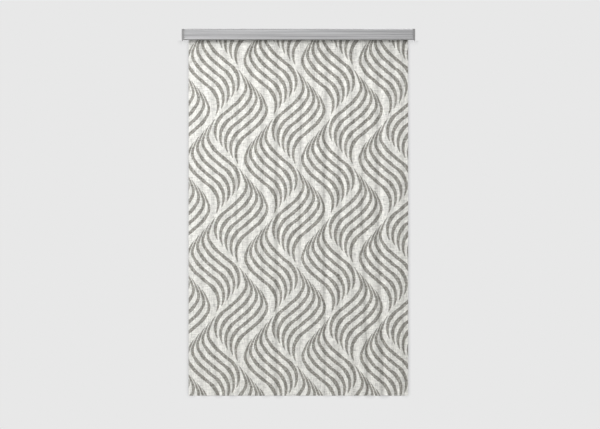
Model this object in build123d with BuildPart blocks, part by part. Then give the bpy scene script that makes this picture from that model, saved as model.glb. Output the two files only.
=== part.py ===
"""A printed curtain panel on a ceiling rail with a tall front, in millimetres.

+Z is up and -Y faces the room. The origin lies on the ceiling face of the rail, above the
middle of the runner channel. The panel is drawn across. Each runner carries a hook, and the
hooks hold the pockets of the tape that is sewn along the top of the cloth.
"""

from build123d import *
import math
import os

# Rail, as sold for a 1.5 m wide panel
rail_length = 1572.0
plate_front = -46.0
plate_back = 14.0
plate_thickness = 2.0
wall_thickness = 1.5
channel_width = 11.0
channel_height = 9.0
slot_width = 5.5
leg_height = 12.0
screw_line_y = -22.0
screw_spacing = 480.0
screw_count = 4
screw_hole_radius = 2.25

# Fascia that clips over the front leg of the track
fascia_height = 75.0
fascia_front = -50.0
fascia_thickness = 1.8
fascia_return = 12.0
fascia_top_gap = 0.4
top_edge = 1.0
bead_top_z = -57.0
bead_nose_z = -69.5
bead_proud = 1.2
rib_thickness = 1.2
clip_gap = 0.1

# Moulded end caps
cap_plate = 3.0
cap_wrap = 13.0
cap_skin = 1.2
cap_gap = 0.2
cap_corner = 7.0
cap_edge = 1.5
peg_length = 10.0

# Runners and hooks
hook_count = 18
side_hem = 25.0
cloth_width = 1490.0
glider_length = 20.0
glider_width = 10.2
glider_height = 6.0
glider_gap = 0.3
neck_width = 4.4
neck_length = 8.0
slider_corner = 1.5
eye_drop = 1.0
eye_z = -20.0
eye_radius = 2.0
eye_width = 10.0
eye_foot_z = -25.0
eye_corner = 2.8
eye_thickness = 3.0
hook_bar = 2.0
hook_rest_z = -21.7
hook_back_y = 4.0
hook_tip_y = -4.0
hook_tip_z = -27.0
hook_knee_z = -34.0
hook_heel_z = -61.0
prong_top_z = -47.0
heel_opening = 2.5
corner_cut = 2.0

# Stops at both ends of the channel
stop_length = 16.0
stop_eye_reach = 9.0
stop_screw_radius = 1.75
stop_screw_play = 0.05
stop_neck_drop = 5.0

# Cloth and the tape on its back
cloth_top_z = -35.0
cloth_height = 2450.0
cloth_thickness = 1.0
bottom_hem = 60.0
tape_top_z = -37.0
tape_height = 73.0
tape_thickness = 1.2
tape_inset = 2.0
valley_y = -9.0
heading_depth = 5.5
edge_depth = 6.0
heading_floor_half = 5.5
floor_half = 2.0
fold_steps = 8
crest_breadth = 3.6
pocket_width = 10.0
pocket_wall = 1.0
pocket_skin = 0.7
pocket_gap = 3.0
pocket_root = 0.6
pocket_height = 12.0
pocket_clearance = 0.4
middle_z = -1210.0

# How far each valley has wandered sideways from its hook, and how deep it is, from left to
# right, at mid-height and at the hem
middle_wander = [10, -6, 16, -26, -30, -13, -4, -9, -22, -39, -27, -6, -14, -32, -8, -6]
middle_depth = [7, 6, 4, 7, 9, 10, 17, 3, 11, 4, 15, 11, 6, 9, 12, 3]
hem_wander = [8, 17, 33, 0, -28, -5, -4, -2, -20, 0, -27, -12, 9, 11, 25, 19]
hem_depth = [6, 10, 12, 3, 7, 9, 13, 3, 5, 3, 9, 10, 7, 15, 19, 4]

half_cloth = cloth_width / 2
half_rail = rail_length / 2
first_hook_x = -half_cloth + side_hem / 2
hook_pitch = -2 * first_hook_x / (hook_count - 1)
hook_xs = [first_hook_x + n * hook_pitch for n in range(hook_count)]
lip_top_z = -plate_thickness - channel_height
channel_bottom_z = lip_top_z - wall_thickness
crest_y = valley_y - heading_depth
tape_bottom_z = tape_top_z - tape_height
hem_top_z = cloth_top_z - cloth_height + bottom_hem

os.makedirs("parts", exist_ok=True)


def save(builder, label):
    """Labels a finished piece and writes it."""
    builder.part.label = label
    export_step(builder.part, f"parts/{label}.step")


# Track: ceiling plate, runner channel, and the front leg that the fascia clips over

with BuildPart() as track:
    with BuildSketch(Plane.YZ.offset(-half_rail)):
        with Locations(((plate_front + plate_back) / 2, -plate_thickness / 2)):
            Rectangle(plate_back - plate_front, plate_thickness)
        channel_outer = channel_width + 2 * wall_thickness
        with Locations((0, channel_bottom_z / 2)):
            Rectangle(channel_outer, -channel_bottom_z)
        with Locations((0, lip_top_z + channel_height / 2)):
            Rectangle(channel_width, channel_height, mode=Mode.SUBTRACT)
        with Locations((0, lip_top_z - wall_thickness / 2)):
            Rectangle(slot_width, wall_thickness, mode=Mode.SUBTRACT)
        with Locations((plate_front + wall_thickness / 2, -leg_height / 2)):
            Rectangle(wall_thickness, leg_height)
        with Locations((plate_back - wall_thickness / 2, -leg_height / 4)):
            Rectangle(wall_thickness, leg_height / 2)
    extrude(amount=rail_length)
    with Locations(Plane((0, screw_line_y, 0))):
        with GridLocations(screw_spacing, 0, screw_count, 1):
            Hole(screw_hole_radius, depth=plate_thickness)
save(track, "track")

# Fascia: brushed face, a bead that leans out and rounds under to the foot return, and ribs that
# grip the track's front leg

face_back = fascia_front + fascia_thickness
nose_y = fascia_front - bead_proud
foot_radius = fascia_height + bead_nose_z
foot_y = nose_y + foot_radius
return_y = face_back + fascia_return
leg_front = plate_front - clip_gap
leg_back = plate_front + wall_thickness + clip_gap
leg_foot_z = -leg_height - clip_gap

with BuildPart() as fascia:
    with BuildSketch(Plane.YZ.offset(-half_rail)):
        with BuildLine():
            Polyline(
                (face_back, -fascia_top_gap),
                (fascia_front + top_edge, -fascia_top_gap),
                (fascia_front, -fascia_top_gap - top_edge),
                (fascia_front, bead_top_z),
                (nose_y, bead_nose_z),
            )
            RadiusArc((nose_y, bead_nose_z), (foot_y, -fascia_height), -foot_radius)
            Polyline(
                (foot_y, -fascia_height),
                (return_y, -fascia_height),
                (return_y, fascia_thickness - fascia_height),
                (foot_y, fascia_thickness - fascia_height),
            )
            RadiusArc(
                (foot_y, fascia_thickness - fascia_height),
                (nose_y + fascia_thickness, bead_nose_z),
                foot_radius - fascia_thickness,
            )
            Polyline(
                (nose_y + fascia_thickness, bead_nose_z),
                (face_back, bead_top_z),
                (face_back, -fascia_top_gap),
            )
        make_face()
        for rib_z in (-plate_thickness - rib_thickness, -leg_height + rib_thickness):
            with Locations(((face_back + leg_front) / 2, rib_z)):
                Rectangle(leg_front - face_back, rib_thickness)
        with Locations(((face_back + leg_back) / 2, leg_foot_z - rib_thickness / 2)):
            Rectangle(leg_back - face_back, rib_thickness)
        with Locations((leg_back + rib_thickness / 2, leg_foot_z + rib_thickness)):
            Rectangle(rib_thickness, 4 * rib_thickness)
    extrude(amount=rail_length)
save(fascia, "fascia")

# End caps: a plate over the rail's end, a sleeve round the fascia, and a peg in the channel

cap_top_z = -fascia_top_gap
cap_front = nose_y - cap_gap - cap_skin
cap_back = plate_back
peg_width = channel_width - 2 * cap_gap
peg_height = channel_height - 2 * cap_gap

for side, side_name in ((-1, "left"), (1, "right")):
    outer_x = side * (half_rail + cap_gap + cap_plate)
    inner_x = side * (half_rail + cap_gap)
    wrap_x = side * (half_rail - cap_wrap)
    with BuildPart() as end_cap:
        with BuildSketch(Plane.XZ.offset(-cap_back)):
            with BuildLine():
                Polyline(
                    (inner_x, cap_top_z),
                    (outer_x - side * cap_edge, cap_top_z),
                    (outer_x, cap_top_z - cap_corner),
                    (outer_x, -fascia_height),
                    (inner_x, -fascia_height),
                    close=True,
                )
            make_face()
        extrude(amount=cap_back - cap_front)
        with BuildSketch(Plane.XZ.offset(-cap_front - cap_skin)):
            with BuildLine():
                Polyline(
                    (wrap_x, cap_top_z),
                    (outer_x - side * cap_corner, cap_top_z),
                    (outer_x, cap_top_z - cap_corner),
                    (outer_x, -fascia_height),
                    (wrap_x, -fascia_height),
                    close=True,
                )
            make_face()
        extrude(amount=cap_skin)
        with BuildSketch(Plane.YZ.offset(inner_x)):
            with Locations((0, lip_top_z + channel_height / 2)):
                Rectangle(peg_width, peg_height)
        extrude(amount=-side * (peg_length + cap_gap))
        wrap_edges = end_cap.edges().filter_by(Axis.Z).group_by(Axis.Y)[0]
        chamfer(wrap_edges.sort_by(Axis.X)[0 if side < 0 else -1], cap_edge * 0.6)
    save(end_cap, f"end_cap_{side_name}")


def slider_block(x, length):
    """The block that runs in the channel, with its corners cut."""
    with BuildPart() as block:
        with BuildSketch(Plane.XY.offset(lip_top_z + glider_gap)):
            with Locations((x, 0)):
                Rectangle(length, glider_width)
        extrude(amount=glider_height)
        chamfer(block.edges().filter_by(Axis.Z), slider_corner)
    return block.part


def eye_plate(x):
    """The neck through the slot and the plate with the eye below it."""
    eye_top_z = channel_bottom_z - eye_drop
    with BuildPart() as plate:
        with BuildSketch(Plane.XY.offset(eye_top_z)):
            with Locations((x, 0)):
                Rectangle(neck_length, neck_width)
        extrude(amount=lip_top_z + glider_gap - eye_top_z)
        with BuildSketch(Plane.XZ.offset(-eye_thickness / 2)):
            with Locations((x, (eye_top_z + eye_foot_z) / 2)):
                outline = Rectangle(eye_width, eye_top_z - eye_foot_z)
            chamfer(outline.vertices().group_by(Axis.Y)[0], eye_corner)
            with Locations((x, eye_z)):
                Circle(eye_radius, mode=Mode.SUBTRACT)
        extrude(amount=eye_thickness)
    return plate.part


# Runners: the leftmost hook hangs from the end stop, so the runners start at the second hook

for number in range(1, hook_count):
    with BuildPart() as glider:
        add(slider_block(hook_xs[number], glider_length))
        add(eye_plate(hook_xs[number]))
    save(glider, f"glider_{number:02d}")

# Hooks: a crook through the eye, a slanted back, and a prong up into the tape's pocket

prong_y = valley_y + cloth_thickness + tape_thickness + pocket_gap / 2
heel_y = prong_y + hook_bar + heel_opening
heel_inner = (heel_y - prong_y - hook_bar) / 2
heel_z = hook_heel_z - heel_inner - hook_bar
crook_top_z = hook_rest_z + hook_bar
half_bar = hook_bar / 2

for number in range(hook_count):
    with BuildPart() as hook:
        with BuildSketch(Plane.YZ.offset(hook_xs[number] - half_bar)):
            with BuildLine():
                Polyline(
                    (prong_y + half_bar, prong_top_z - half_bar),
                    (prong_y, prong_top_z),
                    (prong_y - half_bar, prong_top_z - half_bar),
                    (prong_y - half_bar, hook_heel_z - heel_inner + corner_cut),
                    (prong_y - half_bar + corner_cut, heel_z),
                    (heel_y + half_bar - corner_cut, heel_z),
                    (heel_y + half_bar, hook_heel_z - heel_inner + corner_cut),
                    (hook_back_y + half_bar, hook_knee_z),
                    (hook_back_y + half_bar, crook_top_z - corner_cut),
                    (hook_back_y + half_bar - corner_cut, crook_top_z),
                    (hook_tip_y - half_bar + corner_cut, crook_top_z),
                    (hook_tip_y - half_bar, crook_top_z - corner_cut),
                    (hook_tip_y - half_bar, hook_tip_z),
                    (hook_tip_y + half_bar, hook_tip_z),
                    (hook_tip_y + half_bar, hook_rest_z - corner_cut / 2),
                    (hook_tip_y + half_bar + corner_cut / 2, hook_rest_z),
                    (hook_back_y - half_bar - corner_cut / 2, hook_rest_z),
                    (hook_back_y - half_bar, hook_rest_z - corner_cut / 2),
                    (hook_back_y - half_bar, hook_knee_z),
                    (heel_y - half_bar, hook_heel_z - heel_inner),
                    (prong_y + half_bar, hook_heel_z - heel_inner),
                    close=True,
                )
            make_face()
        extrude(amount=hook_bar)
    save(hook, f"hook_{number:02d}")

# End stops: the left one carries the outermost hook, the right one stops the leading runner

stop_eye_x = hook_xs[0]
left_screw_x = stop_eye_x - stop_eye_reach - stop_length / 2
right_screw_x = hook_xs[-1] + glider_length / 2 + 1.0 + stop_length / 2
stop_foot_z = channel_bottom_z - stop_neck_drop

for stop_name, screw_x in (("left", left_screw_x), ("right", right_screw_x)):
    with BuildPart() as end_stop:
        add(slider_block(screw_x, stop_length))
        with BuildSketch(Plane.XY.offset(stop_foot_z)):
            with Locations((screw_x, 0)):
                Rectangle(neck_length, neck_width)
        extrude(amount=lip_top_z + glider_gap - stop_foot_z)
        if stop_name == "left":
            add(slider_block(stop_eye_x, glider_length))
            add(eye_plate(stop_eye_x))
        with Locations(Plane((screw_x, 0, -plate_thickness))):
            Hole(stop_screw_radius + stop_screw_play)
    save(end_stop, f"end_stop_{stop_name}")

with BuildPart() as stop_screws:
    for screw_x in (left_screw_x, right_screw_x):
        with BuildSketch(Plane.XY.offset(stop_foot_z)):
            with Locations((screw_x, 0)):
                Circle(stop_screw_radius)
        extrude(amount=-plate_thickness - stop_foot_z)
save(stop_screws, "stop_screws")


def fold_points(wander, depths, floor_half):
    """One level's folds between the side hems: narrow valleys with a flat floor, broad crests."""
    inner = [x + shift for x, shift in zip(hook_xs[1:-1], wander)]
    valleys = [side_hem - half_cloth - floor_half] + inner + [half_cloth - side_hem + floor_half]
    points = []
    for n in range(len(valleys) - 1):
        left, right = valleys[n] + floor_half, valleys[n + 1] - floor_half
        for k in range(fold_steps + 1):
            share = k / fold_steps
            depth = depths[n] if share < 0.5 else depths[n + 1]
            rise = abs(math.cos(math.pi * share)) ** crest_breadth
            points.append((left + share * (right - left), crest_y + depth * rise))
    return points


def cloth_section(points, layers, z):
    """A level slice of the cloth: the folds, with one layer more in each side hem."""
    back = [(x, y + layers * cloth_thickness) for x, y in points]
    left, right = points[0], points[-1]
    hem_back = (layers + 1) * cloth_thickness
    with BuildSketch(Plane.XY.offset(z)) as section:
        with BuildLine():
            Polyline(
                (-half_cloth, left[1]),
                *points,
                (half_cloth, right[1]),
                (half_cloth, right[1] + hem_back),
                (right[0], right[1] + hem_back),
                *reversed(back),
                (left[0], left[1] + hem_back),
                (-half_cloth, left[1] + hem_back),
                close=True,
            )
        make_face()
    return section.sketch


# Cloth: a straight heading, folds that wander and deepen on the way down, and a doubled hem

edge_floor = heading_depth - cloth_thickness
heading_depths = [edge_floor] + [heading_depth] * (hook_count - 2) + [edge_floor]
heading_folds = fold_points([0] * (hook_count - 2), heading_depths, heading_floor_half)
middle_folds = fold_points(middle_wander, [edge_depth] + middle_depth + [edge_depth], floor_half)
hem_folds = fold_points(hem_wander, [edge_depth] + hem_depth + [edge_depth], floor_half)

with BuildPart() as curtain:
    loft(
        [
            cloth_section(heading_folds, 1, cloth_top_z),
            cloth_section(heading_folds, 1, tape_bottom_z),
            cloth_section(middle_folds, 1, middle_z),
            cloth_section(hem_folds, 1, hem_top_z),
        ],
        ruled=True,
    )
    extrude(cloth_section(hem_folds, 2, hem_top_z), amount=-bottom_hem)
save(curtain, "curtain")

# Heading tape: a woven band on the cloth's back, with one loop behind each hook

tape_front = [(x, y + cloth_thickness) for x, y in heading_folds]
tape_back = [(x, y + tape_thickness) for x, y in tape_front]
hem_level = tape_front[0][1] + cloth_thickness
tape_level = hem_level + tape_thickness
tape_end = half_cloth - tape_inset
step_left = tape_front[0][0]
step_right = tape_front[-1][0]
pocket_bottom_z = hook_heel_z - heel_inner + pocket_clearance
pocket_base_y = valley_y + cloth_thickness + tape_thickness

with BuildPart() as heading_tape:
    with BuildSketch(Plane.XY.offset(tape_bottom_z)):
        with BuildLine():
            Polyline(
                (-tape_end, hem_level),
                (step_left, hem_level),
                *tape_front,
                (step_right, hem_level),
                (tape_end, hem_level),
                (tape_end, tape_level),
                *reversed(tape_back),
                (-tape_end, tape_level),
                close=True,
            )
        make_face()
    extrude(amount=tape_height)
    with BuildSketch(Plane.XY.offset(pocket_bottom_z)):
        for hook_x in hook_xs:
            with Locations((hook_x, pocket_base_y + (pocket_gap + pocket_skin - pocket_root) / 2)):
                Rectangle(pocket_width, pocket_gap + pocket_skin + pocket_root)
            with Locations((hook_x, pocket_base_y + (pocket_gap - pocket_root) / 2)):
                Rectangle(pocket_width - 2 * pocket_wall, pocket_gap + pocket_root, mode=Mode.SUBTRACT)
    extrude(amount=pocket_height)
save(heading_tape, "heading_tape")
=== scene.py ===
"""Printed curtain panel on a ceiling rail: the looks, laid out as an add-on and run as a script."""

import math

import bpy
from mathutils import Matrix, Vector, noise


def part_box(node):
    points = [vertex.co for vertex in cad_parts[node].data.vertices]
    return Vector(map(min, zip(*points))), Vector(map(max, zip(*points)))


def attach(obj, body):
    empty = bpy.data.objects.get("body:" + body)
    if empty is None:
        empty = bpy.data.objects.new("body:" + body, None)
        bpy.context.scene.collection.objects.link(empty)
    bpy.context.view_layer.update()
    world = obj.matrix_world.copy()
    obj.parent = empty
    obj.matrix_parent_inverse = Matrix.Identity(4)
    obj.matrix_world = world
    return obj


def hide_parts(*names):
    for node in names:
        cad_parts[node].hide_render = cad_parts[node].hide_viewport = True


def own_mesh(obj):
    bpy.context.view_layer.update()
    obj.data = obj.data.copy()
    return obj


bl_info = {
    "name": "Printed Curtain Panel",
    "version": (1, 0, 0),
    "blender": (4, 5, 0),
    "location": "3D View > Sidebar > Curtain",
    "description": "Hangs a printed curtain panel from its ceiling rail",
    "category": "Object",
}

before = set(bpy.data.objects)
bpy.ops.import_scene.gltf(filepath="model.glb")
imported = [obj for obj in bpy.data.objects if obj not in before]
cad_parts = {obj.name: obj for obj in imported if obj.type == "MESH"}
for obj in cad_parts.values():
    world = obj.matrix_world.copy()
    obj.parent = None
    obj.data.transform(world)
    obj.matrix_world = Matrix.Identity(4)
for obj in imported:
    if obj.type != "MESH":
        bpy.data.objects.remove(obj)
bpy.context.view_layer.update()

# Metres for one millimetre
MM = 0.001

# The hooks, and the cloth's hems and lines of stitching in millimetres
HOOK_COUNT = 18
SIDE_HEM = 25.0
BOTTOM_HEM = 60.0
STITCH_WIDTH = 2.0

# The folds, in millimetres, as in the part's source. A floor is how far a valley is flat to each
# side of its middle. The crest breadth is a power: a higher one gives broader crests.
CREST_BREADTH = 3.6
EDGE_DEPTH = 6.0
HEADING_DEPTH = 5.5
HEADING_FLOOR = 5.5
LOWER_FLOOR = 2.0

# How far each valley has wandered sideways from its hook, and how deep it is, from left to right,
# at mid-height and at the hem
MIDDLE_Z = -1210.0
MIDDLE_WANDER = [10, -6, 16, -26, -30, -13, -4, -9, -22, -39, -27, -6, -14, -32, -8, -6]
MIDDLE_DEPTH = [7, 6, 4, 7, 9, 10, 17, 3, 11, 4, 15, 11, 6, 9, 12, 3]
HEM_WANDER = [8, 17, 33, 0, -28, -5, -4, -2, -20, 0, -27, -12, 9, 11, 25, 19]
HEM_DEPTH = [6, 10, 12, 3, 7, 9, 13, 3, 5, 3, 9, 10, 7, 15, 19, 4]

CLOTH_LOW, CLOTH_HIGH = (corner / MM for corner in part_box("curtain"))
TAPE_LOW, TAPE_HIGH = (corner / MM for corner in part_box("heading_tape"))
HALF_CLOTH = (CLOTH_HIGH.x - CLOTH_LOW.x) / 2
CLOTH_WIDTH = 2 * HALF_CLOTH
HEM_TOP_Z = CLOTH_LOW.z + BOTTOM_HEM
CREST_Y = CLOTH_LOW.y
FIRST_HOOK = SIDE_HEM / 2 - HALF_CLOTH
HOOK_PITCH = -2 * FIRST_HOOK / (HOOK_COUNT - 1)
HOOKS = [FIRST_HOOK + n * HOOK_PITCH for n in range(HOOK_COUNT)]


def linear(hex_colour):
    """An sRGB hex colour as linear RGBA."""
    parts = [int(hex_colour[n:n + 2], 16) / 255 for n in (1, 3, 5)]
    return (*[p / 12.92 if p <= 0.04045 else ((p + 0.055) / 1.055) ** 2.4 for p in parts], 1.0)


def colour_property(name, description, hex_colour):
    """A colour that the user may change."""
    return bpy.props.FloatVectorProperty(
        name=name, description=description, subtype="COLOR", size=4, min=0.0, max=1.0,
        default=linear(hex_colour),
    )


class ClothSettings(bpy.types.PropertyGroup):
    """The printed cloth and the tape on its back."""

    thickness: bpy.props.FloatProperty(
        name="Thickness", description="One layer of the cloth", default=1.0 * MM,
        min=0.2 * MM, max=3 * MM, unit="LENGTH",
    )
    crumple: bpy.props.FloatProperty(
        name="Crumple", description="Height of the soft dents between the folds",
        default=2.4 * MM, min=0.0, max=6 * MM, unit="LENGTH",
    )
    repeat_width: bpy.props.FloatProperty(
        name="Repeat Width", description="Width of one repeat of the print, over the folds",
        default=391.2 * MM, min=0.05, max=1.5, unit="LENGTH",
    )
    repeat_height: bpy.props.FloatProperty(
        name="Repeat Height", description="Height of one repeat of the print",
        default=669.5 * MM, min=0.05, max=2.0, unit="LENGTH",
    )
    ground: colour_property("Ground", "Unprinted cloth", "#F6F5F0")
    ink: colour_property("Ink", "Pigment of the printed stripes", "#848179")
    tape: colour_property("Tape", "Woven heading tape", "#ECEBE6")


class RailSettings(bpy.types.PropertyGroup):
    """The rail, its caps and the runners."""

    brushed: colour_property("Brushed", "Brushed face of the rail", "#A4A4A5")
    mill: colour_property("Mill Finish", "Track extrusion", "#C4C5C7")
    cap: colour_property("Caps", "Moulded end caps", "#929292")
    runner: colour_property("Runners", "Moulded runners and stops", "#EDEDEA")
    hook: colour_property("Hooks", "Moulded hooks", "#E3E4E0")
    zinc: colour_property("Screws", "Zinc-plated grub screws", "#B4B6B9")


class StageSettings(bpy.types.PropertyGroup):
    """Light and camera."""

    key_power: bpy.props.FloatProperty(
        name="Key Power", description="Strength of the soft light from the left", default=200.0,
        min=0.0, max=3000.0, unit="POWER",
    )
    fill_power: bpy.props.FloatProperty(
        name="Fill Power", description="Strength of the broad light from the front", default=126.0,
        min=0.0, max=3000.0, unit="POWER",
    )
    top_power: bpy.props.FloatProperty(
        name="Top Power", description="Strength of the light above the rail", default=54.0,
        min=0.0, max=3000.0, unit="POWER",
    )
    back_power: bpy.props.FloatProperty(
        name="Back Power", description="Strength of the soft light behind the cloth", default=170.0,
        min=0.0, max=3000.0, unit="POWER",
    )
    ambient: bpy.props.FloatProperty(
        name="Ambient", description="Strength of the light from all sides", default=0.27,
        min=0.0, max=4.0,
    )
    backdrop: colour_property("Backdrop", "Plain backdrop and surroundings", "#E8E8E8")


def add_node(tree, kind, settings=None, inputs=None):
    """Adds one node, with its settings, its values and its links."""
    node = tree.nodes.new(kind)
    for name, value in (settings or {}).items():
        setattr(node, name, value)
    for name, value in (inputs or {}).items():
        if isinstance(value, bpy.types.NodeSocket):
            tree.links.new(value, node.inputs[name])
        else:
            node.inputs[name].default_value = value
    return node


def new_material(name):
    """An empty node material and its node tree."""
    material = bpy.data.materials.new(name)
    material.use_nodes = True
    material.node_tree.nodes.clear()
    return material, material.node_tree


def finish_surface(tree, shader):
    """Links the shader to the material's surface."""
    add_node(tree, "ShaderNodeOutputMaterial", None, {"Surface": shader.outputs[0]})


def smooth_step(value):
    """0 below 0, 1 above 1, and an even ease between them."""
    t = min(1.0, max(0.0, value))
    return t * t * (3 - 2 * t)


def mixed(first, second, share):
    """Two lists of numbers, blended one by one."""
    return [a + (b - a) * share for a, b in zip(first, second)]


# The folds at each level: how far the inner valleys wander, and how deep all the valleys are
HEADING_EDGE = HEADING_DEPTH - 1.0
HEADING = ([0] * (HOOK_COUNT - 2), [HEADING_EDGE] + [HEADING_DEPTH] * (HOOK_COUNT - 2) + [HEADING_EDGE])
MIDDLE = (MIDDLE_WANDER, [EDGE_DEPTH] + MIDDLE_DEPTH + [EDGE_DEPTH])
HEM = (HEM_WANDER, [EDGE_DEPTH] + HEM_DEPTH + [EDGE_DEPTH])


def folds_at(z):
    """Wander, depth and half the floor's width of the folds at one height, in millimetres."""
    tape_foot = TAPE_LOW.z
    if z >= tape_foot:
        return HEADING[0], HEADING[1], HEADING_FLOOR
    if z >= MIDDLE_Z:
        share = (tape_foot - z) / (tape_foot - MIDDLE_Z)
        floor = HEADING_FLOOR + (LOWER_FLOOR - HEADING_FLOOR) * share
        return mixed(HEADING[0], MIDDLE[0], share), mixed(HEADING[1], MIDDLE[1], share), floor
    share = min(1.0, (MIDDLE_Z - z) / (MIDDLE_Z - HEM_TOP_Z))
    return mixed(MIDDLE[0], HEM[0], share), mixed(MIDDLE[1], HEM[1], share), LOWER_FLOOR


def fold_line(z, steps):
    """One level's front line, finely stepped: narrow valleys with a flat floor, broad crests."""
    wander, depths, floor = folds_at(z)
    inner = [x + shift for x, shift in zip(HOOKS[1:-1], wander)]
    valleys = [SIDE_HEM - HALF_CLOTH - floor] + inner + [HALF_CLOTH - SIDE_HEM + floor]
    line = []
    for n, (left_valley, right_valley) in enumerate(zip(valleys, valleys[1:])):
        left, right = left_valley + floor, right_valley - floor
        for k in range(steps + 1):
            share = k / steps
            blend = smooth_step(share)
            depth = depths[n] + (depths[n + 1] - depths[n]) * blend
            rise = abs(math.cos(math.pi * share)) ** CREST_BREADTH
            line.append((left + share * (right - left), CREST_Y + depth * rise))
    edge_left, edge_right = line[0][1], line[-1][1]
    return [(-HALF_CLOTH, edge_left)] + line + [(HALF_CLOTH, edge_right)]


def even_points(line, shares):
    """Points at the given shares of the line's length, so that threads run straight down."""
    lengths = [0.0]
    for (ax, ay), (bx, by) in zip(line, line[1:]):
        lengths.append(lengths[-1] + math.hypot(bx - ax, by - ay))
    points = []
    n = 0
    for share in shares:
        wanted = share * lengths[-1]
        while n < len(lengths) - 2 and lengths[n + 1] < wanted:
            n += 1
        span = lengths[n + 1] - lengths[n] or 1.0
        t = (wanted - lengths[n]) / span
        (ax, ay), (bx, by) = line[n], line[n + 1]
        points.append((ax + t * (bx - ax), ay + t * (by - ay)))
    return points, lengths[-1]


def stepped(breaks, step):
    """Values from the first break to the last, no further apart than step, on every break."""
    values = []
    for low, high in zip(breaks, breaks[1:]):
        count = max(1, round(abs(high - low) / step))
        values += [low + (high - low) * k / count for k in range(count)]
    return values + [breaks[-1]]


def cloth_piece(name, front, back, flat, materials):
    """A closed skin between a front and a back grid of points, which keeps each point's place on
    the flat cloth. Its front takes the first material and the rest of it the second."""
    rows, columns = len(front), len(front[0])
    points = [p for row in front for p in row] + [p for row in back for p in row]
    places = [p for row in flat for p in row] * 2
    turned = rows * columns
    front_faces = []
    for r in range(rows - 1):
        for c in range(columns - 1):
            a, b = r * columns + c, (r + 1) * columns + c
            front_faces.append((a, b, b + 1, a + 1))
    other_faces = [tuple(turned + n for n in reversed(face)) for face in front_faces]
    rim = [r * columns for r in range(rows)]
    rim += [(rows - 1) * columns + c for c in range(1, columns)]
    rim += [r * columns + columns - 1 for r in range(rows - 2, -1, -1)]
    rim += [c for c in range(columns - 2, 0, -1)]
    for a, b in zip(rim, rim[1:] + rim[:1]):
        other_faces.append((b, a, turned + a, turned + b))
    mesh = bpy.data.meshes.new(name)
    mesh.from_pydata(points, [], front_faces + other_faces)
    mesh.polygons.foreach_set("material_index", [0] * len(front_faces) + [1] * len(other_faces))
    place = mesh.attributes.new("flat_place", "FLOAT_VECTOR", "POINT")
    place.data.foreach_set("vector", [number for p in places for number in p])
    for material in materials:
        mesh.materials.append(material)
    mesh.shade_smooth()
    mesh.update()
    piece = bpy.data.objects.new(name, mesh)
    bpy.context.scene.collection.objects.link(piece)
    return piece


# The cloth's print: five nested S-shaped stripes make a bundle, and bundles stand in rows that
# lean left and right by turns. Places are shares of the repeat's width and height. Each pair on
# the centre line is a share of the stripe's drop and a share of its swing, and each pair of the
# swell is a share of its drop and a share of its half width. The edge is where the ink begins and
# where it is full, measured inwards across a stripe's side.
STRIPES_IN_BUNDLE = 5
STRIPE_DROP = 0.735
STRIPE_SWING = 0.535
STRIPE_LEFT = 0.33
BUNDLE_TOP = -0.235
STRIPE_STEP = (-0.089, 0.057)
STRIPE_HALF_WIDTH = 0.043
STRIPE_EDGE = (-0.001, 0.002)
MIRROR_LINE = 0.322
STRIPE_CENTRE = [
    (0.0, 0.24), (0.15, 0.06), (0.25, 0.0), (0.38, 0.13),
    (0.55, 0.52), (0.71, 0.9), (0.84, 1.0), (1.0, 0.93),
]
STRIPE_SWELL = [
    (0.0, 0.0), (0.13, 0.46), (0.3, 0.64), (0.48, 0.98),
    (0.65, 0.98), (0.77, 0.7), (0.9, 0.5), (1.0, 0.0),
]
PRINT_TOP = 91.4 * MM

# How much of the ink shows on the cloth's back
SHOW_THROUGH = 0.4


def fill_curve(node, points):
    """Sets a Float Curve node's points."""
    curve = node.mapping.curves[0]
    for place, value in points[1:-1]:
        curve.points.new(place, value)
    for point, (place, value) in zip(curve.points, points):
        point.location = (place, value)
    node.mapping.update()


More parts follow.
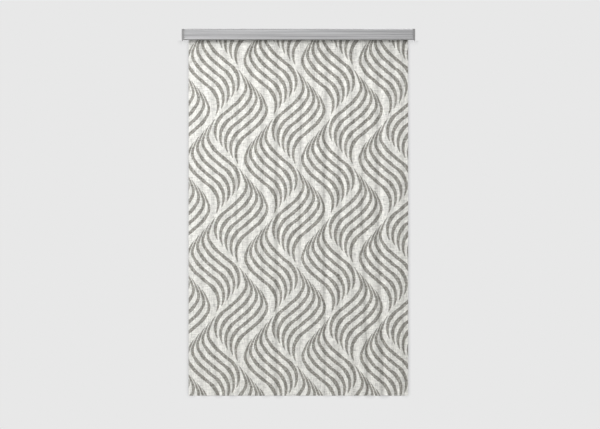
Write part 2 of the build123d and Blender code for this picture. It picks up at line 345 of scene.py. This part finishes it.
def stripe_group():
    """One printed stripe, repeated over the cloth: how much ink there is at a place."""
    tree = bpy.data.node_groups.new("printed stripe", "ShaderNodeTree")
    for name, way in (("Across", "INPUT"), ("Down", "INPUT"), ("Ink", "OUTPUT")):
        tree.interface.new_socket(name, in_out=way, socket_type="NodeSocketFloat")
    given = add_node(tree, "NodeGroupInput")
    down = add_node(tree, "ShaderNodeMath", {"operation": "WRAP"}, {
        0: given.outputs["Down"], 1: BUNDLE_TOP + 1.0, 2: BUNDLE_TOP})
    share = add_node(tree, "ShaderNodeMapRange", None, {
        "Value": down.outputs[0], "From Min": BUNDLE_TOP, "From Max": BUNDLE_TOP + STRIPE_DROP})
    centre = add_node(tree, "ShaderNodeFloatCurve", None, {"Value": share.outputs[0]})
    fill_curve(centre, STRIPE_CENTRE)
    swell = add_node(tree, "ShaderNodeFloatCurve", None, {"Value": share.outputs[0]})
    fill_curve(swell, STRIPE_SWELL)
    line = add_node(tree, "ShaderNodeMath", {"operation": "MULTIPLY_ADD"}, {
        0: centre.outputs[0], 1: STRIPE_SWING, 2: STRIPE_LEFT})
    off = add_node(tree, "ShaderNodeMath", {"operation": "SUBTRACT"}, {
        0: given.outputs["Across"], 1: line.outputs[0]})
    near = add_node(tree, "ShaderNodeMath", {"operation": "WRAP"}, {0: off.outputs[0], 1: 0.5, 2: -0.5})
    apart = add_node(tree, "ShaderNodeMath", {"operation": "ABSOLUTE"}, {0: near.outputs[0]})
    inside = add_node(tree, "ShaderNodeMath", {"operation": "MULTIPLY"}, {
        0: swell.outputs[0], 1: STRIPE_HALF_WIDTH})
    depth = add_node(tree, "ShaderNodeMath", {"operation": "SUBTRACT"}, {
        0: inside.outputs[0], 1: apart.outputs[0]})
    ink = add_node(tree, "ShaderNodeMapRange", {"interpolation_type": "SMOOTHSTEP"}, {
        "Value": depth.outputs[0], "From Min": STRIPE_EDGE[0], "From Max": STRIPE_EDGE[1]})
    add_node(tree, "NodeGroupOutput", None, {"Ink": ink.outputs[0]})
    return tree


def printed_cloth(name, cloth, group, strength):
    """Plain-woven linen-look cloth with pigment printed on its face. The slubs in its threads give
    the ground a fine streaked grain, small gaps between the threads break up the ink, and the dull
    fibres have hardly a highlight, only a little sheen at the folds. Strength is how much of the
    ink shows."""
    material, tree = new_material(name)
    place = add_node(tree, "ShaderNodeAttribute", {"attribute_name": "flat_place"})
    parts = add_node(tree, "ShaderNodeSeparateXYZ", None, {0: place.outputs["Vector"]})
    across = add_node(tree, "ShaderNodeMath", {"operation": "DIVIDE"}, {
        0: parts.outputs["X"], 1: cloth.repeat_width})
    down = add_node(tree, "ShaderNodeMath", {"operation": "DIVIDE"}, {
        0: parts.outputs["Y"], 1: cloth.repeat_height})
    mirrored = add_node(tree, "ShaderNodeMath", {"operation": "SUBTRACT"}, {
        0: MIRROR_LINE, 1: across.outputs[0]})
    # The mirrored bundles stand half a repeat lower
    ink = None
    for row, side in enumerate((across, mirrored)):
        for n in range(STRIPES_IN_BUNDLE):
            shifted = add_node(tree, "ShaderNodeMath", {"operation": "SUBTRACT"}, {
                0: side.outputs[0], 1: n * STRIPE_STEP[0]})
            dropped = add_node(tree, "ShaderNodeMath", {"operation": "SUBTRACT"}, {
                0: down.outputs[0], 1: n * STRIPE_STEP[1] + row / 2})
            stripe = add_node(tree, "ShaderNodeGroup", {"node_tree": group}, {
                "Across": shifted.outputs[0], "Down": dropped.outputs[0]})
            if ink is not None:
                stripe = add_node(tree, "ShaderNodeMath", {"operation": "MAXIMUM"}, {
                    0: ink.outputs[0], 1: stripe.outputs[0]})
            ink = stripe
    # Real slubs are about 0.7 mm thick; the coarsest here are 3 mm thick, to show from afar
    slubs = []
    for long_way in ((0.12, 1.0, 1.0), (1.0, 0.12, 1.0)):
        stretched = add_node(tree, "ShaderNodeMapping", {"vector_type": "POINT"}, {
            "Vector": place.outputs["Vector"], "Scale": long_way})
        slubs.append(add_node(tree, "ShaderNodeTexNoise", {"noise_dimensions": "2D"}, {
            "Vector": stretched.outputs[0], "Scale": 1 / (6.0 * MM), "Detail": 5.0, "Roughness": 0.72}))
    grain = add_node(tree, "ShaderNodeMath", {"operation": "ADD"}, {
        0: slubs[0].outputs["Fac"], 1: slubs[1].outputs["Fac"]})
    # Real gaps in the ink are one thread wide; the coarsest here are 6 mm wide, to show from afar
    speckle = add_node(tree, "ShaderNodeTexNoise", {"noise_dimensions": "2D"}, {
        "Vector": place.outputs["Vector"], "Scale": 1 / (12.0 * MM), "Detail": 4.0, "Roughness": 0.85})
    broken = add_node(tree, "ShaderNodeMapRange", None, {
        "Value": speckle.outputs["Fac"], "From Min": 0.34, "From Max": 0.6,
        "To Min": 0.5, "To Max": 1.0})
    cover = add_node(tree, "ShaderNodeMath", {"operation": "MULTIPLY"}, {
        0: ink.outputs[0], 1: broken.outputs[0]})
    shown = add_node(tree, "ShaderNodeMath", {"operation": "MULTIPLY"}, {
        0: cover.outputs[0], 1: strength})
    tone = add_node(tree, "ShaderNodeMapRange", None, {
        "Value": grain.outputs[0], "From Min": 0.75, "From Max": 1.25,
        "To Min": 0.64, "To Max": 1.23})
    # Sockets 6 and 7 of a colour mix are its two colours
    printed = add_node(tree, "ShaderNodeMix", {"data_type": "RGBA"}, {
        0: shown.outputs[0], 6: tuple(cloth.ground), 7: tuple(cloth.ink)})
    toned = add_node(tree, "ShaderNodeVectorMath", {"operation": "SCALE"}, {
        0: printed.outputs[2], "Scale": tone.outputs[0]})
    relief = add_node(tree, "ShaderNodeBump", None, {
        "Height": grain.outputs[0], "Distance": 0.25 * MM, "Strength": 0.5})
    shader = add_node(tree, "ShaderNodeBsdfPrincipled", None, {
        "Base Color": toned.outputs[0], "Roughness": 0.88, "Sheen Weight": 0.12,
        "Sheen Roughness": 0.5, "Specular IOR Level": 0.25, "Normal": relief.outputs[0]})
    finish_surface(tree, shader)
    return material


def wave_scale(spacing_mm):
    """The Wave Texture scale whose bands are this far apart: at scale 1, a wave repeats after a
    twentieth of a full turn in radians."""
    return 2 * math.pi / (20 * spacing_mm * MM)


def woven_tape(cloth):
    """Woven cotton-look tape: ribs run across it, from edge to edge, so it is dull, with painted
    shade darkening the grooves between the ribs into even stripes."""
    material, tree = new_material("woven heading tape")
    place = add_node(tree, "ShaderNodeAttribute", {"attribute_name": "flat_place"})
    # Real ribs are 1 mm apart; they are drawn 7.54 mm apart, to show from afar
    ribs = add_node(tree, "ShaderNodeTexWave", {"bands_direction": "X"}, {
        "Vector": place.outputs["Vector"], "Scale": wave_scale(7.54), "Distortion": 1.0})
    # Painted shade: the tape's colour darkens towards the bottom of each groove between the ribs
    tone = add_node(tree, "ShaderNodeMapRange", None, {
        "Value": ribs.outputs["Fac"], "To Min": 0.86, "To Max": 1.0})
    toned = add_node(tree, "ShaderNodeVectorMath", {"operation": "SCALE"}, {
        0: tuple(cloth.tape)[:3], "Scale": tone.outputs[0]})
    relief = add_node(tree, "ShaderNodeBump", None, {
        "Height": ribs.outputs["Fac"], "Distance": 0.2 * MM, "Strength": 0.6})
    shader = add_node(tree, "ShaderNodeBsdfPrincipled", None, {
        "Base Color": toned.outputs[0], "Roughness": 0.85, "Sheen Weight": 0.1,
        "Normal": relief.outputs[0]})
    finish_surface(tree, shader)
    return material


def brushed_aluminium(rail):
    """Brushed and clear-anodised aluminium: long wavy brush strokes along the rail spread the
    light across them, so the face is satin grey with lighter and darker streaks."""
    material, tree = new_material("brushed anodised aluminium")
    place = add_node(tree, "ShaderNodeTexCoord")
    # Real strokes are 0.1 mm apart; the broadest groups of them here are 13 mm apart and 1.4 m
    # long, to show from afar, and they waver by up to 5 mm
    waver = add_node(tree, "ShaderNodeTexNoise", None, {
        "Vector": place.outputs["Object"], "Scale": 1 / (90 * MM), "Detail": 1.0})
    bent = add_node(tree, "ShaderNodeVectorMath", {"operation": "MULTIPLY_ADD"}, {
        0: waver.outputs["Color"], 1: (0.0, 0.0, 5 * MM), 2: place.outputs["Object"]})
    long_way = add_node(tree, "ShaderNodeMapping", None, {
        "Vector": bent.outputs[0], "Scale": (0.009, 1.0, 1.0)})
    strokes = add_node(tree, "ShaderNodeTexNoise", None, {
        "Vector": long_way.outputs[0], "Scale": 1 / (13 * MM), "Detail": 6.0, "Roughness": 0.62})
    tone = add_node(tree, "ShaderNodeMapRange", None, {
        "Value": strokes.outputs["Fac"], "From Min": 0.3, "From Max": 0.7,
        "To Min": 0.68, "To Max": 1.32})
    toned = add_node(tree, "ShaderNodeVectorMath", {"operation": "SCALE"}, {
        0: tuple(rail.brushed)[:3], "Scale": tone.outputs[0]})
    satin = add_node(tree, "ShaderNodeMapRange", None, {
        "Value": strokes.outputs["Fac"], "From Min": 0.3, "From Max": 0.7,
        "To Min": 0.5, "To Max": 0.38})
    relief = add_node(tree, "ShaderNodeBump", None, {
        "Height": strokes.outputs["Fac"], "Distance": 0.3 * MM, "Strength": 0.35})
    shader = add_node(tree, "ShaderNodeBsdfPrincipled", None, {
        "Base Color": toned.outputs[0], "Metallic": 1.0, "Roughness": satin.outputs[0],
        "Anisotropic": 0.5, "Normal": relief.outputs[0]})
    finish_surface(tree, shader)
    return material


def extruded_aluminium(rail):
    """Mill-finish aluminium as it leaves the press: dull grey with faint die lines along it."""
    material, tree = new_material("mill finish extruded aluminium")
    place = add_node(tree, "ShaderNodeTexCoord")
    long_way = add_node(tree, "ShaderNodeMapping", None, {
        "Vector": place.outputs["Object"], "Scale": (0.01, 1.0, 1.0)})
    # Real die lines are 0.2 mm apart; the broadest here are 1.5 mm apart, to show from close up
    lines = add_node(tree, "ShaderNodeTexNoise", None, {
        "Vector": long_way.outputs[0], "Scale": 1 / (1.5 * MM), "Detail": 4.0})
    satin = add_node(tree, "ShaderNodeMapRange", None, {
        "Value": lines.outputs["Fac"], "To Min": 0.6, "To Max": 0.42})
    relief = add_node(tree, "ShaderNodeBump", None, {
        "Height": lines.outputs["Fac"], "Distance": 0.1 * MM, "Strength": 0.4})
    shader = add_node(tree, "ShaderNodeBsdfPrincipled", None, {
        "Base Color": tuple(rail.mill), "Metallic": 1.0, "Roughness": satin.outputs[0],
        "Normal": relief.outputs[0]})
    finish_surface(tree, shader)
    return material


def moulded_plastic(name, colour, grain_mm, roughness, clear=0.0):
    """Injection-moulded plastic. Fine spark-eroded grain from the mould dulls its highlight, and
    a clear grade lets some light through."""
    material, tree = new_material(name)
    place = add_node(tree, "ShaderNodeTexCoord")
    # Real grain is 0.1 mm wide; it is drawn 0.4 to 0.8 mm wide, to show from close up
    grain = add_node(tree, "ShaderNodeTexNoise", None, {
        "Vector": place.outputs["Object"], "Scale": 1 / (grain_mm * MM), "Detail": 3.0})
    cloudy = add_node(tree, "ShaderNodeMapRange", None, {
        "Value": grain.outputs["Fac"], "To Min": 0.95, "To Max": 1.03})
    toned = add_node(tree, "ShaderNodeVectorMath", {"operation": "SCALE"}, {
        0: tuple(colour)[:3], "Scale": cloudy.outputs[0]})
    relief = add_node(tree, "ShaderNodeBump", None, {
        "Height": grain.outputs["Fac"], "Distance": 0.05 * MM, "Strength": 0.5})
    shader = add_node(tree, "ShaderNodeBsdfPrincipled", None, {
        "Base Color": toned.outputs[0], "Roughness": roughness, "IOR": 1.46,
        "Transmission Weight": clear, "Normal": relief.outputs[0]})
    finish_surface(tree, shader)
    return material


def zinc_plate(rail):
    """Bright zinc plate on steel: a cool, slightly cloudy metal."""
    material, tree = new_material("zinc plated steel")
    place = add_node(tree, "ShaderNodeTexCoord")
    # The plate's clouds are 2 mm wide
    cloud = add_node(tree, "ShaderNodeTexNoise", None, {
        "Vector": place.outputs["Object"], "Scale": 1 / (2 * MM), "Detail": 3.0})
    satin = add_node(tree, "ShaderNodeMapRange", None, {
        "Value": cloud.outputs["Fac"], "To Min": 0.25, "To Max": 0.45})
    shader = add_node(tree, "ShaderNodeBsdfPrincipled", None, {
        "Base Color": tuple(rail.zinc), "Metallic": 1.0, "Roughness": satin.outputs[0]})
    finish_surface(tree, shader)
    return material


def dress(names, material):
    """Gives CAD nodes a finish."""
    for name in names:
        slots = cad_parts[name].data.materials
        slots.clear()
        slots.append(material)


def in_side_hem(edge):
    """1 in a side hem and 0 beyond its stitching, by the distance from the cloth's edge."""
    return smooth_step((SIDE_HEM - edge) / STITCH_WIDTH + 0.5)


def hang_with_runners(piece):
    """The cloth is held by the rail: it is parented to the rail's body and given a mesh of its own."""
    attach(piece, "rail")
    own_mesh(piece)


class CURTAIN_OT_cloth(bpy.types.Operator):
    """Hang the printed cloth in its folds"""

    bl_idname = "curtain.cloth"
    bl_label = "Hang Cloth"

    # Grid steps in millimetres, finer beside the stitching and in the hem
    COLUMN_STEP = 4.4
    ROW_STEP = 24.0
    HEM_ROW_STEP = 5.0
    HEM_MARGIN = 8.0
    FOLD_STEPS = 24

    # Soft dents: the width and height of each, its place in the noise and its share of the crumple.
    # They fade in below the tape and away from the side edges, over these distances.
    DENTS = ((55.0, 420.0, 3.1, 1.0), (24.0, 150.0, 8.7, 0.45))
    FADE_BELOW_TAPE = 260.0
    FADE_FROM_EDGE = 60.0

    # The stitching pulls the cloth in by this much
    STITCH_DENT = 0.5

    # The furthest that a dent may stand in front of the crests
    FRONT_LIMIT = 6.0

    # The hem's lower edge thins to this share over this height, so that it looks turned
    FOOT_HEIGHT = 4.0
    FOOT_SHARE = 0.35

    def columns(self):
        """Shares of the cloth's width for its columns."""
        side = SIDE_HEM / CLOTH_WIDTH
        fine = STITCH_WIDTH / CLOTH_WIDTH
        shares = stepped([0.0, fine, side - fine, side, side + fine], fine)
        shares += stepped([side + fine, 1 - side - fine], self.COLUMN_STEP / CLOTH_WIDTH)[1:]
        shares += stepped([1 - side - fine, 1 - side, 1 - side + fine, 1 - fine, 1.0], fine)[1:]
        return shares

    def heights(self):
        """Heights of the cloth's rows, in millimetres, from its top down."""
        above, below = HEM_TOP_Z + STITCH_WIDTH, HEM_TOP_Z - STITCH_WIDTH
        margin, foot = HEM_TOP_Z + self.HEM_MARGIN, CLOTH_LOW.z + self.FOOT_HEIGHT
        heights = stepped([CLOTH_HIGH.z, TAPE_LOW.z, margin], self.ROW_STEP)
        heights += stepped([margin, above, HEM_TOP_Z, below], STITCH_WIDTH)[1:]
        heights += stepped([below, foot, CLOTH_LOW.z], self.HEM_ROW_STEP)[1:]
        return heights

    def dent(self, x, z, edge, crumple):
        """How far the cloth stands back from its fold line at one place."""
        free = smooth_step((TAPE_LOW.z - z) / self.FADE_BELOW_TAPE) * smooth_step(edge / self.FADE_FROM_EDGE)
        soft = 0.0
        for width, height, place, share in self.DENTS:
            soft += share * noise.noise(Vector((x / width, z / height, place)))
        seam = math.exp(-((edge - SIDE_HEM) / STITCH_WIDTH) ** 2)
        seam += math.exp(-((z - HEM_TOP_Z) / STITCH_WIDTH) ** 2)
        return crumple * free * soft + self.STITCH_DENT * min(1.0, seam)

    def execute(self, context):
        cloth = context.scene.curtain_cloth
        layer = cloth.thickness / MM
        shares = self.columns()
        front, back, flat = [], [], []
        for z in self.heights():
            points, _ = even_points(fold_line(z, self.FOLD_STEPS), shares)
            in_hem = smooth_step((HEM_TOP_Z - z) / STITCH_WIDTH)
            round_foot = smooth_step((z - CLOTH_LOW.z) / self.FOOT_HEIGHT)
            full = self.FOOT_SHARE + (1 - self.FOOT_SHARE) * round_foot
            front_row, back_row, flat_row = [], [], []
            for share, (x, y) in zip(shares, points):
                edge = min(share, 1 - share) * CLOTH_WIDTH
                dent = self.dent(x, z, edge, cloth.crumple / MM)
                y_front = max(CREST_Y - self.FRONT_LIMIT, y + dent)
                y_back = y_front + layer * full * (1 + max(in_side_hem(edge), in_hem))
                front_row.append((x * MM, y_front * MM, z * MM))
                back_row.append((x * MM, y_back * MM, z * MM))
                flat_row.append((share * CLOTH_WIDTH * MM, -z * MM - PRINT_TOP, 0.0))
            front.append(front_row)
            back.append(back_row)
            flat.append(flat_row)
        stripes = stripe_group()
        faces = [
            printed_cloth("pigment printed linen-look cloth", cloth, stripes, 1.0),
            printed_cloth("reverse of the printed cloth", cloth, stripes, SHOW_THROUGH),
        ]
        piece = cloth_piece("printed_cloth", front, back, flat, faces)
        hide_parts("curtain")
        hang_with_runners(piece)
        return {"FINISHED"}


class CURTAIN_OT_tape(bpy.types.Operator):
    """Sew the woven tape with its pockets along the top of the cloth's back"""

    bl_idname = "curtain.tape"
    bl_label = "Sew Heading Tape"

    # Grid steps, the tape itself and the heights of the two cords woven into it, in millimetres
    FOLD_STEPS = 16
    COLUMN_STEP = 5.0
    ROW_STEP = 1.8
    TAPE_THICKNESS = 1.2
    END_INSET = 2.0
    CORD_LINES = (-46.0, -101.0)
    CORD_RADIUS = 0.9

    # The pockets, in millimetres; the corner is a power, and a low one gives a boxier loop
    POCKET_LOW_Z = -61.85
    POCKET_HIGH_Z = -49.85
    POCKET_ROOT_Y = -7.4
    POCKET_HALF_WIDTH = 5.0
    POCKET_SKIN = 0.7
    POCKET_CORNER = 0.45
    POCKET_STEPS = 24

    def pocket(self, hook_x):
        """One woven loop for a hook's prong: its outer and inner rows of points, from the left
        root round to the right one, and their places on the flat tape."""
        reach = TAPE_HIGH.y - self.POCKET_ROOT_Y
        outer, inner, flat = [], [], []
        for z in stepped([self.POCKET_HIGH_Z, self.POCKET_LOW_Z], self.ROW_STEP):
            outer_row, inner_row, flat_row = [], [], []
            for k in range(self.POCKET_STEPS + 1):
                turn = math.pi * k / self.POCKET_STEPS
                side = math.cos(turn)
                across = math.copysign(abs(side) ** self.POCKET_CORNER, side)
                out = max(0.0, math.sin(turn)) ** self.POCKET_CORNER
                for row, skin in ((outer_row, 0.0), (inner_row, self.POCKET_SKIN)):
                    x = hook_x + across * (self.POCKET_HALF_WIDTH - skin)
                    row.append((x * MM, (self.POCKET_ROOT_Y + out * (reach - skin)) * MM, z * MM))
                flat_row.append(((hook_x + HALF_CLOTH + across * reach) * MM, -z * MM, 0.0))
            outer.append(outer_row)
            inner.append(inner_row)
            flat.append(flat_row)
        return outer, inner, flat

    def execute(self, context):
        cloth = context.scene.curtain_cloth
        layer = cloth.thickness / MM
        ends = self.END_INSET / CLOTH_WIDTH
        side = SIDE_HEM / CLOTH_WIDTH
        shares = stepped([ends, side, 1 - side, 1 - ends], self.COLUMN_STEP / CLOTH_WIDTH)
        line, _ = even_points(fold_line(TAPE_HIGH.z, self.FOLD_STEPS), shares)
        front, back, flat = [], [], []
        for z in stepped([TAPE_HIGH.z, TAPE_LOW.z], self.ROW_STEP):
            cord = sum(math.exp(-((z - at) / self.CORD_RADIUS) ** 2) for at in self.CORD_LINES)
            front_row, back_row, flat_row = [], [], []
            for share, (x, y) in zip(shares, line):
                edge = min(share, 1 - share) * CLOTH_WIDTH
                base = y + layer * (1 + in_side_hem(edge))
                cover = self.TAPE_THICKNESS + self.CORD_RADIUS * cord
                front_row.append((x * MM, base * MM, z * MM))
                back_row.append((x * MM, (base + cover) * MM, z * MM))
                flat_row.append((share * CLOTH_WIDTH * MM, -z * MM, 0.0))
            front.append(front_row)
            back.append(back_row)
            flat.append(flat_row)
        tape = woven_tape(cloth)
        piece = cloth_piece("woven_heading_tape", front, back, flat, [tape, tape])
        for n, hook_x in enumerate(HOOKS):
            pocket = cloth_piece(f"tape_pocket_{n:02d}", *self.pocket(hook_x), [tape, tape])
            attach(pocket, f"runner_{n:02d}" if n else "rail")
        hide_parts("heading_tape")
        hang_with_runners(piece)
        return {"FINISHED"}


class CURTAIN_OT_rail(bpy.types.Operator):
    """Finish the track, its brushed front and the end caps"""

    bl_idname = "curtain.rail"
    bl_label = "Finish Rail"

    def execute(self, context):
        rail = context.scene.curtain_rail
        dress(["fascia"], brushed_aluminium(rail))
        dress(["track"], extruded_aluminium(rail))
        caps = ["end_cap_left", "end_cap_right"]
        dress(caps, moulded_plastic("moulded ABS, silver grey", rail.cap, 0.8, 0.5))
        return {"FINISHED"}


class CURTAIN_OT_runners(bpy.types.Operator):
    """Finish the runners, stops, hooks and screws"""

    bl_idname = "curtain.runners"
    bl_label = "Finish Runners"

    def execute(self, context):
        rail = context.scene.curtain_rail
        numbers = range(1, HOOK_COUNT)
        runners = [f"glider_{n:02d}" for n in numbers] + ["end_stop_left", "end_stop_right"]
        dress(runners, moulded_plastic("moulded acetal, white", rail.runner, 0.5, 0.42))
        hooks = [f"hook_{n:02d}" for n in range(HOOK_COUNT)]
        dress(hooks, moulded_plastic("moulded nylon, natural", rail.hook, 0.4, 0.3, clear=0.35))
        dress(["stop_screws"], zinc_plate(rail))
        return {"FINISHED"}


class CURTAIN_OT_stage(bpy.types.Operator):
    """Set up the backdrop, the floor, the soft light and the camera"""

    bl_idname = "curtain.stage"
    bl_label = "Set Up Stage"

    # The backdrop and the floor, in metres. The painted shade on the backdrop reaches this far round
    # the panel, is deepened by a power, and ends this high above the foot of the rail's front.
    BACKDROP_Y = 0.03
    BACKDROP_HALF_WIDTH = 4.0
    BACKDROP_TOP_Z = 3.0
    FLOOR_DROP = 0.3
    FLOOR_HALF_WIDTH = 8.0
    FLOOR_COLOUR = "#C9C9C7"
    SHADE_REACH = 0.045
    SHADE_POWER = 1.8
    SHADE_EDGE = 5 * MM

    # The square lights' places and sides, in metres
    KEY_LIGHT = ((-4.2, -3.2, 1.6), 2.2)
    FILL_LIGHT = ((0.6, -6.5, 0.2), 5.0)
    TOP_LIGHT = ((0.0, -0.75, 3.0), 1.0)
    BACK_LIGHT = ((0.0, 5.0, 2.0), 4.0)

    # The surroundings keep this share of their light below, with a soft change at the horizon
    DARK_BELOW = 0.05
    HORIZON = 0.3

    # The camera's lens in millimetres, and its view in pixels and metres
    FOCAL_LENGTH = 85.0
    SENSOR_WIDTH = 36.0
    PICTURE_WIDTH = 600
    METRES_PER_PIXEL = 6.785 * MM
    VIEW_CENTRE = (0.0108, 0.0, -1.2554)

    def plane(self, name, corners, material):
        """A flat piece of the stage."""
        mesh = bpy.data.meshes.new(name)
        mesh.from_pydata(corners, [], [(0, 1, 2, 3)])
        mesh.materials.append(material)
        piece = bpy.data.objects.new(name, mesh)
        bpy.context.scene.collection.objects.link(piece)

    def backdrop_paint(self, stage):
        """Matt paint shown as an even glow, with a painted soft shade where something hangs close to
        it, taken from how near other things are. It shows only from the front and takes no part in the
        light."""
        material, tree = new_material("matt backdrop paint")
        # Painted shade: the backdrop's glow is darkened by how near the panel and rail are, but not above
        # the rail's foot
        nearness = add_node(tree, "ShaderNodeAmbientOcclusion", {"samples": 12}, {
            "Distance": self.SHADE_REACH})
        place = add_node(tree, "ShaderNodeTexCoord")
        heights = add_node(tree, "ShaderNodeSeparateXYZ", None, {0: place.outputs["Object"]})
        rail_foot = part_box("fascia")[0].z
        above = add_node(tree, "ShaderNodeMapRange", None, {
            "Value": heights.outputs["Z"], "From Min": rail_foot,
            "From Max": rail_foot + self.SHADE_EDGE})
        painted_shade = add_node(tree, "ShaderNodeMath", {"operation": "POWER"}, {
            0: nearness.outputs["AO"], 1: self.SHADE_POWER})
        light = add_node(tree, "ShaderNodeMath", {"operation": "MAXIMUM"}, {
            0: above.outputs[0], 1: painted_shade.outputs[0]})
        painted_shade_colour = add_node(tree, "ShaderNodeVectorMath", {"operation": "SCALE"}, {
            0: tuple(stage.backdrop)[:3], "Scale": light.outputs[0]})
        paint = add_node(tree, "ShaderNodeEmission", None, {"Color": painted_shade_colour.outputs[0]})
        clear = add_node(tree, "ShaderNodeBsdfTransparent")
        path = add_node(tree, "ShaderNodeLightPath")
        geometry = add_node(tree, "ShaderNodeNewGeometry")
        front = add_node(tree, "ShaderNodeMath", {"operation": "SUBTRACT"}, {
            0: path.outputs["Is Camera Ray"], 1: geometry.outputs["Backfacing"]})
        shown = add_node(tree, "ShaderNodeMath", {"operation": "MAXIMUM"}, {0: front.outputs[0], 1: 0.0})
        shader = add_node(tree, "ShaderNodeMixShader", None, {
            0: shown.outputs[0], 1: clear.outputs[0], 2: paint.outputs[0]})
        finish_surface(tree, shader)
        return material

    def floor_paint(self):
        """Pale matt floor, plain all over. It is clear from below, so that views from there show
        the rail's channel."""
        material, tree = new_material("pale matt floor")
        matt = add_node(tree, "ShaderNodeBsdfPrincipled", None, {
            "Base Color": linear(self.FLOOR_COLOUR), "Roughness": 0.9})
        clear = add_node(tree, "ShaderNodeBsdfTransparent")
        geometry = add_node(tree, "ShaderNodeNewGeometry")
        shader = add_node(tree, "ShaderNodeMixShader", None, {
            0: geometry.outputs["Backfacing"], 1: matt.outputs[0], 2: clear.outputs[0]})
        finish_surface(tree, shader)
        return material

    def soft_light(self, name, place, size, power):
        """A square light that faces the middle of the picture."""
        lamp = bpy.data.lights.new(name, "AREA")
        lamp.shape = "SQUARE"
        lamp.size = size
        lamp.energy = power
        light = bpy.data.objects.new(name, lamp)
        light.location = place
        light.rotation_mode = "QUATERNION"
        light.rotation_quaternion = (Vector(self.VIEW_CENTRE) - light.location).to_track_quat("-Z", "Y")
        bpy.context.scene.collection.objects.link(light)

    def execute(self, context):
        stage = context.scene.curtain_stage
        low, high = CLOTH_LOW.z * MM - self.FLOOR_DROP, self.BACKDROP_TOP_Z
        y, half = self.BACKDROP_Y, self.BACKDROP_HALF_WIDTH
        upright = [(-half, y, low), (half, y, low), (half, y, high), (-half, y, high)]
        self.plane("backdrop", upright, self.backdrop_paint(stage))
        half = self.FLOOR_HALF_WIDTH
        level = [(-half, -half, low), (half, -half, low), (half, half, low), (-half, half, low)]
        self.plane("floor", level, self.floor_paint())
        self.soft_light("key light", *self.KEY_LIGHT, stage.key_power)
        self.soft_light("fill light", *self.FILL_LIGHT, stage.fill_power)
        self.soft_light("top light", *self.TOP_LIGHT, stage.top_power)
        self.soft_light("back light", *self.BACK_LIGHT, stage.back_power)
        self.surroundings(context.scene, stage)
        self.camera(context.scene)
        context.scene.view_settings.view_transform = "Standard"
        return {"FINISHED"}

    def surroundings(self, scene, stage):
        """Even light from all sides, weaker from below; the camera sees the backdrop's colour."""
        world = bpy.data.worlds.new("plain surroundings")
        scene.world = world
        world.use_nodes = True
        world.node_tree.nodes.clear()
        tree = world.node_tree
        path = add_node(tree, "ShaderNodeLightPath")
        place = add_node(tree, "ShaderNodeTexCoord")
        heights = add_node(tree, "ShaderNodeSeparateXYZ", None, {0: place.outputs["Generated"]})
        above = add_node(tree, "ShaderNodeMapRange", None, {
            "Value": heights.outputs["Z"], "From Min": -self.HORIZON, "From Max": self.HORIZON,
            "To Min": self.DARK_BELOW * stage.ambient, "To Max": stage.ambient})
        # Sockets 2 and 3 of a number mix are its two numbers
        strength = add_node(tree, "ShaderNodeMix", {"data_type": "FLOAT"}, {
            0: path.outputs["Is Camera Ray"], 2: above.outputs[0], 3: 1.0})
        air = add_node(tree, "ShaderNodeBackground", None, {
            "Color": tuple(stage.backdrop), "Strength": strength.outputs[0]})
        add_node(tree, "ShaderNodeOutputWorld", None, {"Surface": air.outputs[0]})

    def camera(self, scene):
        """A long lens straight in front of the panel."""
        lens = bpy.data.cameras.new("camera")
        lens.lens = self.FOCAL_LENGTH
        lens.sensor_width = self.SENSOR_WIDTH
        distance = self.METRES_PER_PIXEL * self.PICTURE_WIDTH * self.FOCAL_LENGTH / self.SENSOR_WIDTH
        camera = bpy.data.objects.new("camera", lens)
        centre_x, _, centre_z = self.VIEW_CENTRE
        camera.location = (centre_x, CREST_Y * MM - distance, centre_z)
        camera.rotation_euler = (math.pi / 2, 0, 0)
        scene.collection.objects.link(camera)
        scene.camera = camera


STEPS = (CURTAIN_OT_cloth, CURTAIN_OT_tape, CURTAIN_OT_rail, CURTAIN_OT_runners, CURTAIN_OT_stage)


class CURTAIN_PT_panel(bpy.types.Panel):
    """Lists the steps and their settings"""

    bl_label = "Curtain"
    bl_idname = "CURTAIN_PT_panel"
    bl_space_type = "VIEW_3D"
    bl_region_type = "UI"
    bl_category = "Curtain"

    def draw(self, context):
        for group in (context.scene.curtain_cloth, context.scene.curtain_rail, context.scene.curtain_stage):
            for name in group.bl_rna.properties.keys():
                if name not in ("rna_type", "name"):
                    self.layout.prop(group, name)
        for step in STEPS:
            self.layout.operator(step.bl_idname)


SETTINGS = {
    "curtain_cloth": ClothSettings,
    "curtain_rail": RailSettings,
    "curtain_stage": StageSettings,
}


def register():
    """Registers the classes and hangs the settings on the scene."""
    for cls in (*SETTINGS.values(), *STEPS, CURTAIN_PT_panel):
        bpy.utils.register_class(cls)
    for name, group in SETTINGS.items():
        setattr(bpy.types.Scene, name, bpy.props.PointerProperty(type=group))


def unregister():
    """Takes the settings and classes away again."""
    for name in SETTINGS:
        delattr(bpy.types.Scene, name)
    for cls in (CURTAIN_PT_panel, *reversed(STEPS), *SETTINGS.values()):
        bpy.utils.unregister_class(cls)


def main():
    """Builds the whole panel."""
    register()
    bpy.ops.curtain.cloth()
    bpy.ops.curtain.tape()
    bpy.ops.curtain.rail()
    bpy.ops.curtain.runners()
    bpy.ops.curtain.stage()


if __name__ == "__main__":
    main()
